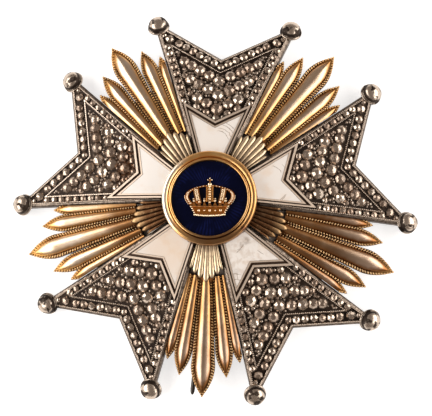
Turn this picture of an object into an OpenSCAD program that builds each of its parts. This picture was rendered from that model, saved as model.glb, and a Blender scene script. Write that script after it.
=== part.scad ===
// Order insignia: a five-armed breast star of silver, gilt rays and enamel.
// It lies face up with its top arm along +Y, on the ten studs at its arm tips.
// The origin is on the floor under the middle of the medallion. Millimetres.

/* [Star] */
// Radius of the circle through the centres of the tip studs
stud_ring_r = 42; // [41.8:0.1:42.4]
// Angle between an arm's axis and each of its two studs
stud_half_angle = 20.4; // [20.2:0.1:20.6]
// Fall of the arms from the middle of the star to their tips
arm_slope = 17; // [16.5:0.5:17.5]

/* [Silver arms] */
// Distance from the apex to the notch between an arm's two points, along the slope
arm_notch = 33.4; // [33:0.1:33.8]
// Rise of the notch's edges
arm_notch_angle = 29.8; // [29.5:0.1:30]
// Half width that an arm's sides would have at the apex
arm_foot = 0.4; // [0.3:0.05:0.5]
// Angle between an arm's sides and its axis
arm_side_angle = 20; // [19.8:0.1:20.2]
// Thickness of an arm's plate
arm_t = 1.4; // [1.2:0.1:1.6]
// Width of the bevel round an arm
arm_bevel = 0.35; // [0.25:0.05:0.4]
// Distance from an arm's notch to its inner raised line
line_inset = 3.2; // [3.15:0.05:3.25]
// Distance from an arm's sides to its inner raised line
line_side_inset = 2.2; // [2.15:0.05:2.25]
// Height of the inner field above the rim row's band
field_h = 0.25; // [0.2:0.05:0.3]
// Radius of the large cut beads
field_bead_r = 1.3; // [1.2:0.02:1.3]
// Radius of the cut beads in the rim row along the notch
rim_bead_r = 0.86; // [0.8:0.02:0.86]
// Distance between neighbouring beads of that row
rim_pitch = 1.85; // [1.8:0.05:1.9]

/* [Tip studs] */
// Radius of a stud's base rim
stud_rim_r = 2.4; // [2.3:0.05:2.45]
// Depth of a stud's base below its centre
stud_base = 0.7; // [0.65:0.05:0.75]
// Lean of a stud away from the star's middle, over the arm's own fall
stud_lean = 18; // [14:1:20]

/* [Gilt rays] */
// Radius of the tips of a bundle's middle ray
ray_tip_r = 41.4; // [41:0.1:41.6]
// Height of the middle ray's tip above the floor
ray_tip_z = 3.35; // [3.3:0.05:3.4]
// Fall of the rays
ray_slope = 13; // [12.5:0.25:13.25]
// Thickness of a ray's milled border
ray_border_t = 0.9; // [0.8:0.05:1]
// Height of the middle ray's crown above its border
ray_crown_h = 1.05; // [0.9:0.05:1.1]
// Gap between a ray and the arm beside it
ray_gap = 0.12; // [0.1:0.01:0.15]
// Radius of the middle tip of an inner fan
fan_tip_r = 17.4; // [17:0.1:17.6]
// Height of a fan's pleats
fan_pleat_h = 0.4; // [0.3:0.05:0.45]

/* [Enamelled cross] */
// Distance from the apex to the notch in an enamelled arm, along the slope
cross_notch = 17.6; // [17.5:0.1:17.7]
// Rise of that notch's edges
cross_notch_angle = 30.5; // [30.4:0.1:30.6]
// Half width that an enamelled arm's sides would have at the apex
cross_foot = 0.2; // [0.15:0.01:0.25]
// Angle between an enamelled arm's sides and its axis
cross_side_angle = 18; // [17.9:0.1:18.1]
// Height of the cross's outer silver line above an arm's plate
cross_h = 1; // [0.95:0.05:1.05]
// Width of the silver framing along the enamel's sides
cross_frame_w = 0.95; // [0.9:0.05:1]
// Width of the silver framing along the enamel's notch
cross_notch_w = 1.35; // [1.3:0.05:1.4]

/* [Medallion] */
// Outer radius of the gilt ring
ring_r = 10.1; // [10:0.05:10.2]
// Inner radius of the gilt ring
ring_in_r = 8.05; // [8:0.05:8.15]
// Height of the gilt ring
ring_h = 1.5; // [1.4:0.05:1.6]
// Width of the crown across its outer arches
crown_w = 10.6; // [10:0.1:11]
// Turn of the crown against the top arm
crown_turn = 3; // [0:1:5]
// How far the crown stands to the right of the middle
crown_off = 0.15; // [0:0.05:0.5]

/* [Back] */
// Radius of the back plate
back_r = 28.5; // [28:0.25:29]
// Thickness of the back plate
back_t = 0.8; // [0.7:0.05:0.9]
// Radius of the brooch pin's wire
pin_r = 0.55; // [0.5:0.01:0.6]
// Height of the brooch pin above the floor
pin_z = 2; // [1.95:0.05:2.05]
// Distance of the brooch pin's point from the middle of the star
pin_reach = 41; // [40.7:0.1:41.1]
// Distance of the pin's point to the left of the star's axis
pin_swing = 2.2; // [2:0.05:2.3]
// Distance of the hinge from the middle of the star
hinge_y = 26.4; // [26:0.1:26.6]

/* [Hidden] */
arm_count = 5;
arm_turn = 360 / arm_count;

// Gap between pieces that are riveted or laid on each other
seat = 0.1;
// How far shapes of one solid reach into each other
sink = 0.06;
// Height that is more than any piece's, for shapes that cut
cut_h = 6;

// The whole lean of a stud, from which its lowest point follows
stud_tilt = acos(cos(stud_lean) * cos(arm_slope)
    - cos(stud_half_angle) * sin(stud_lean) * sin(arm_slope));
stud_z = stud_base * cos(stud_tilt) + stud_rim_r * sin(stud_tilt);
stud_x = stud_ring_r * sin(stud_half_angle);
stud_y = stud_ring_r * cos(stud_half_angle);
apex_z = stud_z + stud_y * tan(arm_slope);

// Inner ends of the arms, the cross's arms and their enamel, along the slope
arm_inner = 10.2;
cross_inner = 9.4;
enamel_inner = 10.1;

// Floor of the cross's trays above an arm's plate
tray_floor = 0.36;

// The cross's hub and what lies on it
hub_r = 9.3;
hub_z = 11.1;
hub_top_z = 12;
medallion_z = hub_top_z + seat / 2;

// The top of the back plate, as a cone that runs to the apex
cone_z = apex_z - (arm_t + seat) / cos(arm_slope);
back_flat_z = hub_z - seat;
back_flat_r = (cone_z - back_flat_z) / tan(arm_slope);
back_drop = back_t / cos(arm_slope);

// Rivets that hold the arms and rays to the back plate, along the slope
rivet_r = 0.8;
rivet_head_r = 1.5;
rivet_head_h = 0.6;
arm_rivets = [14.5, 22.5];
ray_rivets = [17.5, 25];
ray_post_r = 1.5;
ray_post_h = 1.9;

// Rays of a bundle: angle from its axis, half angle, tip radius, length of the point, drop
ray_angle = 0;
ray_half = 1;
ray_tip = 2;
ray_point = 3;
ray_drop = 4;
rays = [
    [0, 4.2, ray_tip_r, 6.6, 0],
    [7.8, 3.4, ray_tip_r - 4, 5.8, 0.35],
    [13, 2.7, ray_tip_r - 6.6, 5, 0.6]];
ray_inner = 15.6;

// Levels of a ray's crown: share of its width, share of its height, distance from the tip
crown_wide = 0;
crown_high = 1;
crown_back = 2;
crown_levels = [[0.62, -0.08, 1.2], [0.5, 0.64, 1.9], [0.2, 1, 3.1]];

// Frame of an arm: its plate's top is the XY plane, with Y down the slope from the apex
module on_arm(i) {
    rotate([0, 0, -arm_turn * i])
        translate([0, 0, apex_z])
            rotate([-arm_slope, 0, 0])
                children();
}

// Outline of a swallow-tailed arm, drawn in by an inset from its notch and one from its sides
function swallowtail(notch, notch_angle, foot, side_angle, inner, inset, side_inset) =
    let (v = notch - inset / cos(notch_angle),
         a = foot - side_inset / cos(side_angle),
         m = tan(notch_angle),
         b = tan(side_angle),
         x = (a + b * v) / (1 - b * m))
    [[0, v], [x, v + m * x], [a + b * inner, inner], [-a - b * inner, inner], [-x, v + m * x]];

function arm_outline(inset, inner = arm_inner, more = 0) = swallowtail(
    arm_notch, arm_notch_angle, arm_foot, arm_side_angle, inner, inset + more, inset);
function cross_outline(inset, inner = cross_inner, more = 0) = swallowtail(
    cross_notch, cross_notch_angle, cross_foot, cross_side_angle, inner, inset + more, inset);

// The right half of such an outline, which is convex
function right_half(p) = [p[0], p[1], p[2], [0, p[2][1]]];

// Line of a swallowtail's side and of its notch
function side_x(t, inset) = arm_foot + tan(arm_side_angle) * t - inset / cos(arm_side_angle);
function cross_notch_t(x) = cross_notch + tan(cross_notch_angle) * x;

module both_sides() {
    children();
    mirror([1, 0, 0]) children();
}

// Room round the enamelled cross that an arm's relief keeps clear of
module cross_room(gap) {
    polygon(cross_outline(-gap, arm_inner - 2));
}

// A raised line that follows an arm's notch, further in by some more, and its sides
module milled_line(inset, w, h, more = 0) {
    translate([0, 0, -sink])
        linear_extrude(h + sink)
            difference() {
                polygon(arm_outline(inset - w / 2, arm_inner, more));
                polygon(arm_outline(inset + w / 2, arm_inner - 1, more));
                cross_room(0.15);
            }
}

// A cast bead: a large one is cut with eight sides to a table, a small one with six to a point
module cut_bead(x, t, r, turn, large = false) {
    translate([x, t, large ? field_h - sink : -sink])
        rotate([0, 0, turn])
            cylinder(h = bead_rise * r + sink, r1 = r, r2 = large ? r * bead_table : 0,
                $fn = large ? 8 : 6);
}

// Beads of the rim row on an arm's right half: across, along the slope, radius
rim_row_inset = 1.85;
rim_side_inset = 1.38;
rim_side_r = 0.6;
rim_side_pitch = 1.65;
rim_side_beads = 8;
rim_notch = arm_notch - rim_row_inset / cos(arm_notch_angle);
rim_beads = concat(
    [for (k = [0:5])
        let (s = 1.8 + k * rim_pitch)
        [s * cos(arm_notch_angle), rim_notch + s * sin(arm_notch_angle), rim_bead_r]],
    [[11.75, 37.85, 1.05], [13.1, 38.75, 0.5]],
    [for (k = [0:rim_side_beads - 1])
        let (t = 35.9 - k * rim_side_pitch)
        [side_x(t, rim_side_inset), t, rim_side_r]],
    [[side_x(22.85, rim_side_inset), 22.85, 0.5]]);

// Large beads on an arm's right half and axis, in rows that run as its notch does; they are
// largest and furthest apart on the axis
field_pitch_t = 3.4;
field_top = 27.6;
bead_turn = 8;
bead_table = 0.45;
bead_rise = 0.8;
more_inset = line_inset - line_side_inset;
field_beads = [
    for (row = [0:3], column = [0:4])
        let (x0 = column * (2.4 - 0.1 * column),
             t0 = field_top + x0 * tan(arm_notch_angle) - row * field_pitch_t,
             t = max(t0, cross_notch_t(x0) + 1),
             x = min(x0, side_x(t, line_side_inset + 0.85)),
             edge = min((side_x(t, line_side_inset + 0.25) - x) * cos(arm_side_angle),
                        (t - cross_notch_t(x) - 0.12) * cos(cross_notch_angle)),
             r = min(field_bead_r - 0.1 * column, edge))
        if (r > 0.55 && t0 > cross_notch_t(x0) - 0.6 && x > x0 - 0.9) [x, t, r]];

// A stud: rimmed collet and a dome cut with eight facets and a table
module tip_stud() {
    translate([0, 0, -stud_base]) {
        rotate([0, 0, 18]) cylinder(h = 0.4, r = stud_rim_r, $fn = 10);
        cylinder(h = 1.2, r1 = stud_rim_r - 0.3, r2 = stud_rim_r - 0.2, $fn = 8);
        translate([0, 0, 1.2])
            cylinder(h = 1.1, r1 = stud_rim_r - 0.2, r2 = 0.9, $fn = 8);
    }
}

// A rivet that hangs from the XY plane through the back plate, with its head behind
module rivet() {
    stem = seat + back_t + seat;
    translate([0, 0, -stem - sink]) cylinder(h = stem + 2 * sink, r = rivet_r, $fn = 6);
    translate([0, 0, -stem - rivet_head_h])
        cylinder(h = rivet_head_h, r1 = rivet_head_r - 0.35, r2 = rivet_head_r, $fn = 8);
}

// One arm, cast with its raised lines, beads and tip studs, and riveted to the back plate
module arm(i) {
    color("#857a6c")
    on_arm(i) {
        milled_line(arm_bevel + 0.2, 0.4, 0.3);
        milled_line(line_side_inset, 0.42, 0.42, more_inset);
        translate([0, 0, -sink])
            linear_extrude(field_h + sink)
                difference() {
                    polygon(arm_outline(line_side_inset, arm_inner, more_inset));
                    cross_room(0.22);
                }
        both_sides() {
            hull() {
                translate([0, 0, -arm_t])
                    linear_extrude(arm_t - arm_bevel)
                        polygon(right_half(arm_outline(0)));
                translate([0, 0, -sink])
                    linear_extrude(sink)
                        polygon(right_half(arm_outline(arm_bevel)));
            }
            for (b = rim_beads) cut_bead(b[0], b[1], b[2], bead_turn * b[1]);
            for (b = field_beads)
                if (b[0] > 0) cut_bead(b[0], b[1], b[2], bead_turn * b[1], true);
            translate([stud_x, stud_y / cos(arm_slope), 0])
                rotate([0, 0, -stud_half_angle])
                    rotate([-stud_lean, 0, 0])
                        tip_stud();
        }
        cut_bead(0, rim_notch + 0.1, 0.68, 0);
        for (b = field_beads)
            if (b[0] == 0) cut_bead(0, b[1], b[2], 22.5, true);
        for (t = arm_rivets)
            translate([0, t, -arm_t]) rivet();
    }
}

// Outline of a ray with straight sides that run to the star's middle, its tip at the origin
function ray_outline(tip_r, half, point, inner_r, steps = 4) =
    let (w = (tip_r - point) * tan(half),
         right = concat(
             [[inner_r * tan(half), inner_r - tip_r]],
             [for (k = [0:steps - 1])
                 let (u = k / steps)
                 [w * (1 - u * u), -point * (1 - u)]]))
    concat(right, [[0, 0]], [for (k = [len(right) - 1:-1:0]) [-right[k][0], right[k][1]]]);

// One ray: a flat milled border and a rounded crown that is lower where the ray is narrow
module ray(r) {
    tip = r[ray_tip];
    point = r[ray_point];
    half = r[ray_half];
    h = ray_crown_h * half / rays[0][ray_half];
    translate([0, tip, ray_tip_z + (ray_tip_r - tip) * tan(ray_slope) - r[ray_drop]])
        rotate([-ray_slope, 0, 0]) {
            translate([0, 0, -ray_border_t])
                hull()
                    linear_extrude(ray_border_t)
                        polygon(ray_outline(tip, half, point, ray_inner));
            hull()
                for (level = crown_levels)
                    translate([0, -point, level[crown_high] * h])
                        rotate([atan(level[crown_high] * h / (tip - point)), 0, 0])
                            translate([0, point - level[crown_back], 0])
                                linear_extrude(0.02)
                                    polygon(ray_outline(tip - level[crown_back],
                                        half * level[crown_wide],
                                        point - level[crown_back] / 2, ray_inner, 3));
        }
}

// The room that the two arms beside a bundle or a fan take up
module beside_arms(i) {
    for (j = [i, i + 1])
        on_arm(j)
            linear_extrude(2 * cut_h, center = true)
                polygon(arm_outline(-ray_gap, arm_inner - 3));
}

// A bundle of five rays between two arms, on two riveted posts
module ray_bundle(i) {
    color("#c08a3e")
    difference() {
        union() {
            rotate([0, 0, -arm_turn * (i + 0.5)])
                both_sides()
                    for (r = rays)
                        rotate([0, 0, -r[ray_angle]]) ray(r);
            on_arm(i + 0.5)
                for (t = ray_rivets)
                    translate([0, t, -arm_t]) {
                        cylinder(h = ray_post_h, r = ray_post_r, $fn = 6);
                        rivet();
                    }
        }
        beside_arms(i);
    }
}

// Pleats of an inner fan: the middle one reaches furthest, and the rest step back
fan_pleats = 7;
fan_inner = 9.7;
fan_half_angle = 15.5;
fan_z = 9.55;
fan_t = 0.3;
function fan_reach(k) = fan_tip_r - 0.8 * abs(k);
module fan_pleat(k) {
    pitch = 2 * fan_half_angle / fan_pleats;
    half = pitch * 0.52;
    reach = fan_reach(k);
    rotate([0, 0, -k * pitch])
        translate([0, 0, fan_z + fan_tip_r * tan(ray_slope)])
            rotate([-ray_slope, 0, 0])
                hull() {
                    linear_extrude(fan_t)
                        polygon([
                            [-fan_inner * tan(half), fan_inner],
                            [fan_inner * tan(half), fan_inner],
                            [reach * tan(half), reach],
                            [0, reach + 0.7],
                            [-reach * tan(half), reach]]);
                    translate([-0.02, fan_inner, 0])
                        cube([0.04, reach + 0.1 - fan_inner, fan_t + fan_pleat_h]);
                }
}

// A pale gilt fan between two enamelled arms, pleated from the ring outwards
module ray_fan(i) {
    color("#c9b083")
    difference() {
        rotate([0, 0, -arm_turn * (i + 0.5)])
            for (k = [-(fan_pleats - 1) / 2:(fan_pleats - 1) / 2]) fan_pleat(k);
        beside_arms(i);
        translate([0, 0, hub_top_z]) cylinder(h = 2, r = ring_r + 0.3, $fn = 72);
    }
}

// The cross's silver body: five trays with a doubled framing line, on a hub with a rivet
module cross_frame() {
    groove_in = 0.33;
    groove_out = 0.62;
    groove_floor = 0.55;
    wider = cross_notch_w - cross_frame_w;
    shank_r = 1.5;
    head_r = 2.8;
    head_h = 0.9;
    behind = hub_z - seat - back_t - seat;
    color("#b8ada0")
    union() {
        difference() {
            for (i = [0:arm_count - 1])
                on_arm(i)
                    difference() {
                        translate([0, 0, seat / 2])
                            linear_extrude(cross_h - seat / 2)
                                polygon(cross_outline(0));
                        translate([0, 0, groove_floor])
                            linear_extrude(cross_h)
                                difference() {
                                    polygon(cross_outline(groove_in, cross_inner - 1, wider / 3));
                                    polygon(cross_outline(groove_out, cross_inner - 2, wider));
                                }
                        translate([0, 0, tray_floor])
                            linear_extrude(cross_h)
                                polygon(cross_outline(cross_frame_w, cross_inner - 1, wider));
                    }
            translate([0, 0, hub_top_z]) cylinder(h = 2, r = ring_r + 0.3, $fn = 96);
        }
        translate([0, 0, hub_z]) cylinder(h = hub_top_z - hub_z, r = hub_r, $fn = 96);
        translate([0, 0, behind]) cylinder(h = hub_z - behind + sink, r = shank_r, $fn = 48);
        translate([0, 0, behind - head_h]) cylinder(h = head_h, r = head_r, $fn = 48);
    }
}

// The enamel that fills one tray, a little under its rim
module white_enamel(i) {
    gap = 0.04;
    color("#efe6de")
    on_arm(i)
        translate([0, 0, tray_floor + gap])
            linear_extrude(cross_h - 0.1 - tray_floor - gap)
                polygon(cross_outline(cross_frame_w + gap, enamel_inner,
                    cross_notch_w - cross_frame_w));
}

// The gilt ring: a broad rounded moulding and a narrow inner one, with a groove between them
module medallion_ring() {
    broad_r = 0.34 * (ring_r - ring_in_r);
    narrow_r = 0.15 * (ring_r - ring_in_r);
    function half_round(c, r) = [for (a = [0:15:180]) c + r * [cos(a), sin(a)]];
    color("#cf9a45")
    translate([0, 0, medallion_z])
        rotate_extrude($fn = 128)
            polygon(concat(
                [[ring_in_r, 0], [ring_r, 0]],
                half_round([ring_r - broad_r, ring_h - broad_r], broad_r),
                half_round([ring_in_r + narrow_r, ring_h - narrow_r - 0.1], narrow_r)));
}

// The blue enamelled disc, a little domed
disc_r = ring_in_r - 0.1;
disc_edge_h = 0.55;
disc_dome = 0.25;
module medallion_enamel() {
    steps = 6;
    color("#101a4a")
    translate([0, 0, medallion_z])
        rotate_extrude($fn = 128)
            polygon(concat(
                [[0, 0], [disc_r, 0]],
                [for (k = [steps:-1:0])
                    let (u = k / steps)
                    [disc_r * u, disc_edge_h + disc_dome * (1 - u * u)]]));
}

// Point on a cubic curve, and a band of constant width along it
function curve_at(c, u) = pow(1 - u, 3) * c[0] + 3 * u * pow(1 - u, 2) * c[1]
    + 3 * u * u * (1 - u) * c[2] + pow(u, 3) * c[3];
function curve_side(c, u, w) =
    let (d = curve_at(c, u + 0.01) - curve_at(c, u - 0.01))
    curve_at(c, u) + w / 2 * [d[1], -d[0]] / norm(d);
function band_outline(c, w, steps = 12) = concat(
    [for (k = [0:steps]) curve_side(c, k / steps, w)],
    [for (k = [steps:-1:0]) curve_side(c, k / steps, -w)]);

// A closed heraldic crown in relief: circlet, leaves, five arches with pearls, orb and cross
module crown() {
    s = crown_w / 10.6;
    outer_arch = [[3.75, -1.5], [5.9, 0.6], [4.9, 2], [0.6, 2.6]];
    inner_arch = [[2.1, -1.3], [2.3, -0.2], [2.9, 1], [2.9, 1.95]];
    module relief(h) { linear_extrude(h) children(); }
    module pearl(p, r, z) { translate([p[0], p[1], z]) sphere(r, $fn = 24); }
    color("#d9a656")
    translate([crown_off, 0, medallion_z + disc_edge_h + disc_dome + seat / 2])
        rotate([0, 0, crown_turn])
            scale(s) {
                relief(0.55) polygon([[-3.05, -3.5], [0, -3.7], [3.05, -3.5], [3.85, -1.7],
                    [-3.85, -1.7]]);
                relief(0.9) polygon([[-3.1, -3.8], [0, -4.02], [3.1, -3.8], [3.2, -3.4],
                    [0, -3.62], [-3.2, -3.4]]);
                relief(0.78) polygon([[-3.95, -1.95], [3.95, -1.95], [3.95, -1.62], [-3.95, -1.62]]);
                relief(0.85) translate([-0.8, -1.7]) square([1.6, 4.15]);
                for (k = [-2:2]) pearl([1.15 * k, -2.7], 0.32, 0.55);
                for (k = [0:5]) pearl([0, 2.3 - 0.52 * k], 0.23, 0.85);
                for (k = [-3:3]) {
                    x = 1.08 * k;
                    relief(0.66) polygon([[x - 0.42, -1.68], [x + 0.42, -1.68], [x + 0.18, -1.15],
                        [x, -0.3], [x - 0.18, -1.15]]);
                }
                both_sides() {
                    relief(0.5) polygon(band_outline(outer_arch, 0.5));
                    relief(0.7) polygon(band_outline(inner_arch, 1.2));
                    for (k = [1:6]) pearl(curve_at(outer_arch, 0.12 * k), 0.26, 0.5);
                    for (k = [2:6]) pearl(curve_at(inner_arch, 0.12 * k), 0.24, 0.7);
                }
                relief(0.5) translate([-0.14, 2.4]) square([0.28, 1.85]);
                relief(0.5) translate([-0.42, 3.66]) square([0.84, 0.28]);
                pearl([0, 2.85], 0.46, 0.5);
            }
}

// The back plate's underside at a radius
function back_under(r) = cone_z - back_drop - r * tan(arm_slope);

// The place on the pin's line at a distance along the star
function pin_x(y) = -pin_swing * (hinge_y - y) / (hinge_y + pin_reach);

// The dished back plate, pierced for the rivets, with the hinge's cheeks and the catch
catch_y = -19.5;
catch_r = 1.6;
catch_in_r = 0.95;
catch_w = 2.2;
cheek_t = 0.85;
cheek_w = 2.2;
cheek_z = 0.75;
eye_w = 1.3;
eye_r = 1.2;
module back_plate() {
    color("#8d8377")
    difference() {
        union() {
            rotate_extrude($fn = 128)
                polygon([
                    [0, back_flat_z],
                    [back_flat_r, back_flat_z],
                    [back_r, cone_z - back_r * tan(arm_slope)],
                    [back_r, cone_z - back_r * tan(arm_slope) - back_drop],
                    [back_flat_r, back_flat_z - back_t],
                    [0, back_flat_z - back_t]]);
            hinge_cheeks();
            pin_catch();
        }
        translate([0, 0, back_flat_z - 2 * back_t])
            cylinder(h = 4 * back_t, r = 1.5 + seat, $fn = 48);
        for (i = [0:arm_count - 1]) {
            on_arm(i) rivet_holes(arm_rivets);
            on_arm(i + 0.5) rivet_holes(ray_rivets);
        }
    }
}

module rivet_holes(places) {
    for (t = places)
        translate([0, t, -arm_t - 3]) cylinder(h = 4, r = rivet_r + seat, $fn = 48);
}

// Two cheeks that carry the hinge's cross pin
module hinge_cheeks() {
    both_sides()
        translate([eye_w / 2 + seat, hinge_y - cheek_w / 2, cheek_z])
            cube([cheek_t, cheek_w, back_under(hinge_y - cheek_w / 2) + seat - cheek_z]);
    translate([-eye_w / 2 - seat - cheek_t, hinge_y, pin_z])
        rotate([0, 90, 0])
            cylinder(h = eye_w + 2 * seat + 2 * cheek_t, r = 0.5, $fn = 48);
}

// An open hook under the back plate that the pin lies in
module pin_catch() {
    x = pin_x(catch_y);
    difference() {
        union() {
            translate([x, catch_y + catch_w / 2, pin_z])
                rotate([90, 0, 0])
                    cylinder(h = catch_w, r = catch_r, $fn = 96);
            translate([x, catch_y - catch_w / 2, pin_z])
                cube([catch_r, catch_w, back_under(-catch_y - catch_w / 2) + seat - pin_z]);
        }
        translate([x, catch_y + catch_w, pin_z])
            rotate([90, 0, 0])
                cylinder(h = 2 * catch_w, r = catch_in_r, $fn = 96);
        translate([x - 3, catch_y - catch_w, pin_z])
            cube([3, 2 * catch_w, 0.8]);
    }
}

// The brooch pin: an eye on the hinge's cross pin, and a tapered wire with a flared point
module brooch_pin() {
    length = norm([pin_swing, hinge_y + pin_reach]);
    tip_r = 0.5;
    neck_r = 0.4;
    color("#5d5a58")
    difference() {
        union() {
            translate([0, hinge_y, pin_z])
                rotate([0, 0, -atan(pin_swing / (hinge_y + pin_reach))])
                    rotate([90, 0, 0])
                        rotate_extrude($fn = 64)
                            polygon([
                                [0, 0],
                                [pin_r, 0],
                                [pin_r, length * 0.45],
                                [neck_r, length - 5.5],
                                [tip_r, length - 1.2],
                                [tip_r * 0.85, length - 0.5],
                                [tip_r * 0.4, length],
                                [0, length]]);
            translate([-eye_w / 2, hinge_y, pin_z])
                rotate([0, 90, 0])
                    cylinder(h = eye_w, r = eye_r, $fn = 64);
        }
        translate([-eye_w, hinge_y, pin_z])
            rotate([0, 90, 0])
                cylinder(h = 2 * eye_w, r = 0.5 + seat, $fn = 64);
    }
}

for (i = [0:arm_count - 1]) {
    arm(i);
    ray_bundle(i);
    ray_fan(i);
    white_enamel(i);
}
cross_frame();
medallion_ring();
medallion_enamel();
crown();
back_plate();
brooch_pin();
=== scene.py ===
import math
import random

import bmesh
import bpy
import numpy as np
from mathutils import Matrix, Vector


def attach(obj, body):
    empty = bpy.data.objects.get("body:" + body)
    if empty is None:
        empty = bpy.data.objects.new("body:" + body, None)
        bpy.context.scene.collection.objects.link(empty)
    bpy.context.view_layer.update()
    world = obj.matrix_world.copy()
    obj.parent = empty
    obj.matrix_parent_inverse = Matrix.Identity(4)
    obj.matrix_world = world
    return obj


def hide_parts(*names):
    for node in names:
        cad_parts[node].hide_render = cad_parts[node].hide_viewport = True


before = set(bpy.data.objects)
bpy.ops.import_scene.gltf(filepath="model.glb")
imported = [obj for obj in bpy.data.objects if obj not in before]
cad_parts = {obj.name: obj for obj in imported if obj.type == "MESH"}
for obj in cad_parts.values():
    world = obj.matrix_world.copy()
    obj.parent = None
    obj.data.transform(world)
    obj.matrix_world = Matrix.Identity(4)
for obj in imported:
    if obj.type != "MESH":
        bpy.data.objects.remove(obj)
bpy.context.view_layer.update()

# The camera.
# A copy stand looks down on the star, nearly square to it. The star leans a little in the
# frame, so the camera's turns are those of the star against the picture.
photo_width = 432
MM = 0.001
camera_distance = 400 * MM
pixels_per_mm = 4.6158
stud_plane_z = 1.93 * MM
lean_back, lean_left, twist = -0.1413, -0.0868, -0.0593
off_middle = (0.4686 * MM, -0.5553 * MM)
star_turn = (
    Matrix.Rotation(lean_back, 4, "X")
    @ Matrix.Rotation(lean_left, 4, "Y")
    @ Matrix.Rotation(twist, 4, "Z")
)
stand = Matrix.Translation((*off_middle, camera_distance))
camera = bpy.data.objects.new("copy_camera", bpy.data.cameras.new("copy_camera"))
bpy.context.scene.collection.objects.link(camera)
camera.matrix_world = (
    Matrix.Translation((0, 0, stud_plane_z)) @ star_turn.transposed() @ stand
)
camera.data.sensor_width = 36
camera.data.lens = (
    camera.data.sensor_width * camera_distance / (photo_width / pixels_per_mm * MM)
)
camera.data.clip_start = 0.01
camera.data.clip_end = 10
bpy.context.scene.camera = camera
to_right = camera.matrix_world.to_3x3() @ Vector((1, 0, 0))
to_top = camera.matrix_world.to_3x3() @ Vector((0, 1, 0))
to_camera = camera.matrix_world.to_3x3() @ Vector((0, 0, 1))


# The copy stand's board and its lights.
# The board is plain and white. A big soft box leans in from either side and the room above is
# dim and warm, so round metal has a bright band on its left and right and is brown in between.
soft_box_distance = 0.5
soft_box_size = (0.8, 0.3)
room_tint = (1.0, 0.84, 0.74, 1)
room_strength = 0.25


def soft_box(name, side, up, rise, power, tint):
    """A soft box, by its shares of the picture's right and top and its rise in degrees."""
    lamp = bpy.data.lights.new(name, "AREA")
    lamp.shape = "RECTANGLE"
    lamp.size, lamp.size_y = soft_box_size
    lamp.energy = power
    lamp.color = tint
    box = bpy.data.objects.new(name, lamp)
    bpy.context.scene.collection.objects.link(box)
    away = (to_right * side + to_top * up).normalized()
    rise = math.radians(rise)
    place = (away * math.cos(rise) + to_camera * math.sin(rise)) * soft_box_distance
    aim = place.to_track_quat("Z", "Y").to_matrix().to_4x4()
    box.matrix_world = Matrix.Translation(place) @ aim


soft_box("left_soft_box", side=-1, up=0.05, rise=28, power=3.3, tint=(1.0, 0.98, 0.95))
soft_box("right_soft_box", side=1, up=0.1, rise=30, power=3.0, tint=(1.0, 0.97, 0.93))

studio = bpy.data.worlds.new("studio")
bpy.context.scene.world = studio
studio.use_nodes = True
studio.node_tree.nodes["Background"].inputs["Color"].default_value = room_tint
studio.node_tree.nodes["Background"].inputs["Strength"].default_value = room_strength
bpy.context.scene.view_settings.view_transform = "Standard"


class Shade:
    """One output of a material's nodes: sums on it add Math nodes, and add() any other node."""

    def __init__(self, socket):
        self.socket = socket

    def add(self, kind, settings=None, inputs=None, output=0):
        tree = self.socket.id_data
        node = tree.nodes.new(kind)
        for key, value in (settings or {}).items():
            setattr(node, key, value)
        for key, value in (inputs or {}).items():
            if isinstance(value, Shade):
                tree.links.new(value.socket, node.inputs[key])
            else:
                node.inputs[key].default_value = value
        return Shade(node.outputs[output])

    def math(self, operation, *others):
        terms = dict(enumerate((self, *others)))
        return self.add("ShaderNodeMath", {"operation": operation}, terms)

    def __add__(self, other):
        return self.math("ADD", other)

    def __sub__(self, other):
        return self.math("SUBTRACT", other)

    def __rsub__(self, other):
        return self * -1 + other

    def __mul__(self, other):
        return self.math("MULTIPLY", other)

    __radd__ = __add__
    __rmul__ = __mul__

    def between(self, low, high):
        """0 at low and 1 at high, and no further."""
        return self.add(
            "ShaderNodeMapRange",
            {"interpolation_type": "SMOOTHSTEP"},
            {"Value": self, "From Min": low, "From Max": high},
        )

    def noise(self, scale, detail=3, stretch=None):
        place = self
        if stretch:
            place = self.add("ShaderNodeMapping", None, {"Vector": self, "Scale": stretch})
        return place.add(
            "ShaderNodeTexNoise", None, {"Vector": place, "Scale": scale, "Detail": detail}
        )

    def mix(self, first, second):
        """The colour from first to second, by this share."""
        return self.add(
            "ShaderNodeMix", {"data_type": "RGBA"}, {"Factor": self, 6: first, 7: second}, 2
        )

    def bump(self, strength, height):
        """A normal from this height; the distance is in millimetres."""
        return self.add(
            "ShaderNodeBump", None, {"Height": self, "Strength": strength, "Distance": height * MM}
        )

    def stored(self, name):
        """A number that the model's vertices carry."""
        return self.add("ShaderNodeAttribute", {"attribute_name": name}, output="Fac")

    def along(self, direction):
        """Distance along a direction, of a place."""
        return self.add(
            "ShaderNodeVectorMath", {"operation": "DOT_PRODUCT"}, {0: self, 1: direction}, "Value"
        )

    def away_from(self, point):
        """Distance from a point, of a place."""
        return self.add(
            "ShaderNodeVectorMath", {"operation": "DISTANCE"}, {0: self, 1: point}, "Value"
        )


def finish(name, **fixed):
    """A new material with its fixed sockets set, and its place on the object in millimetres."""
    material = bpy.data.materials.new(name)
    material.use_nodes = True
    shader = material.node_tree.nodes["Principled BSDF"]
    for key, value in fixed.items():
        shader.inputs[key.replace("_", " ")].default_value = value
    place = Shade(shader.outputs[0]).add("ShaderNodeTexCoord", output="Object")
    place = place.add(
        "ShaderNodeVectorMath", {"operation": "SCALE"}, {0: place, "Scale": 1 / MM}
    )
    return material, place


def lay_on(material, **varying):
    """Joins what varies over the surface to the shader's sockets."""
    tree = material.node_tree
    for key, value in varying.items():
        socket = tree.nodes["Principled BSDF"].inputs[key.replace("_", " ")]
        tree.links.new(value.socket, socket)


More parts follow.
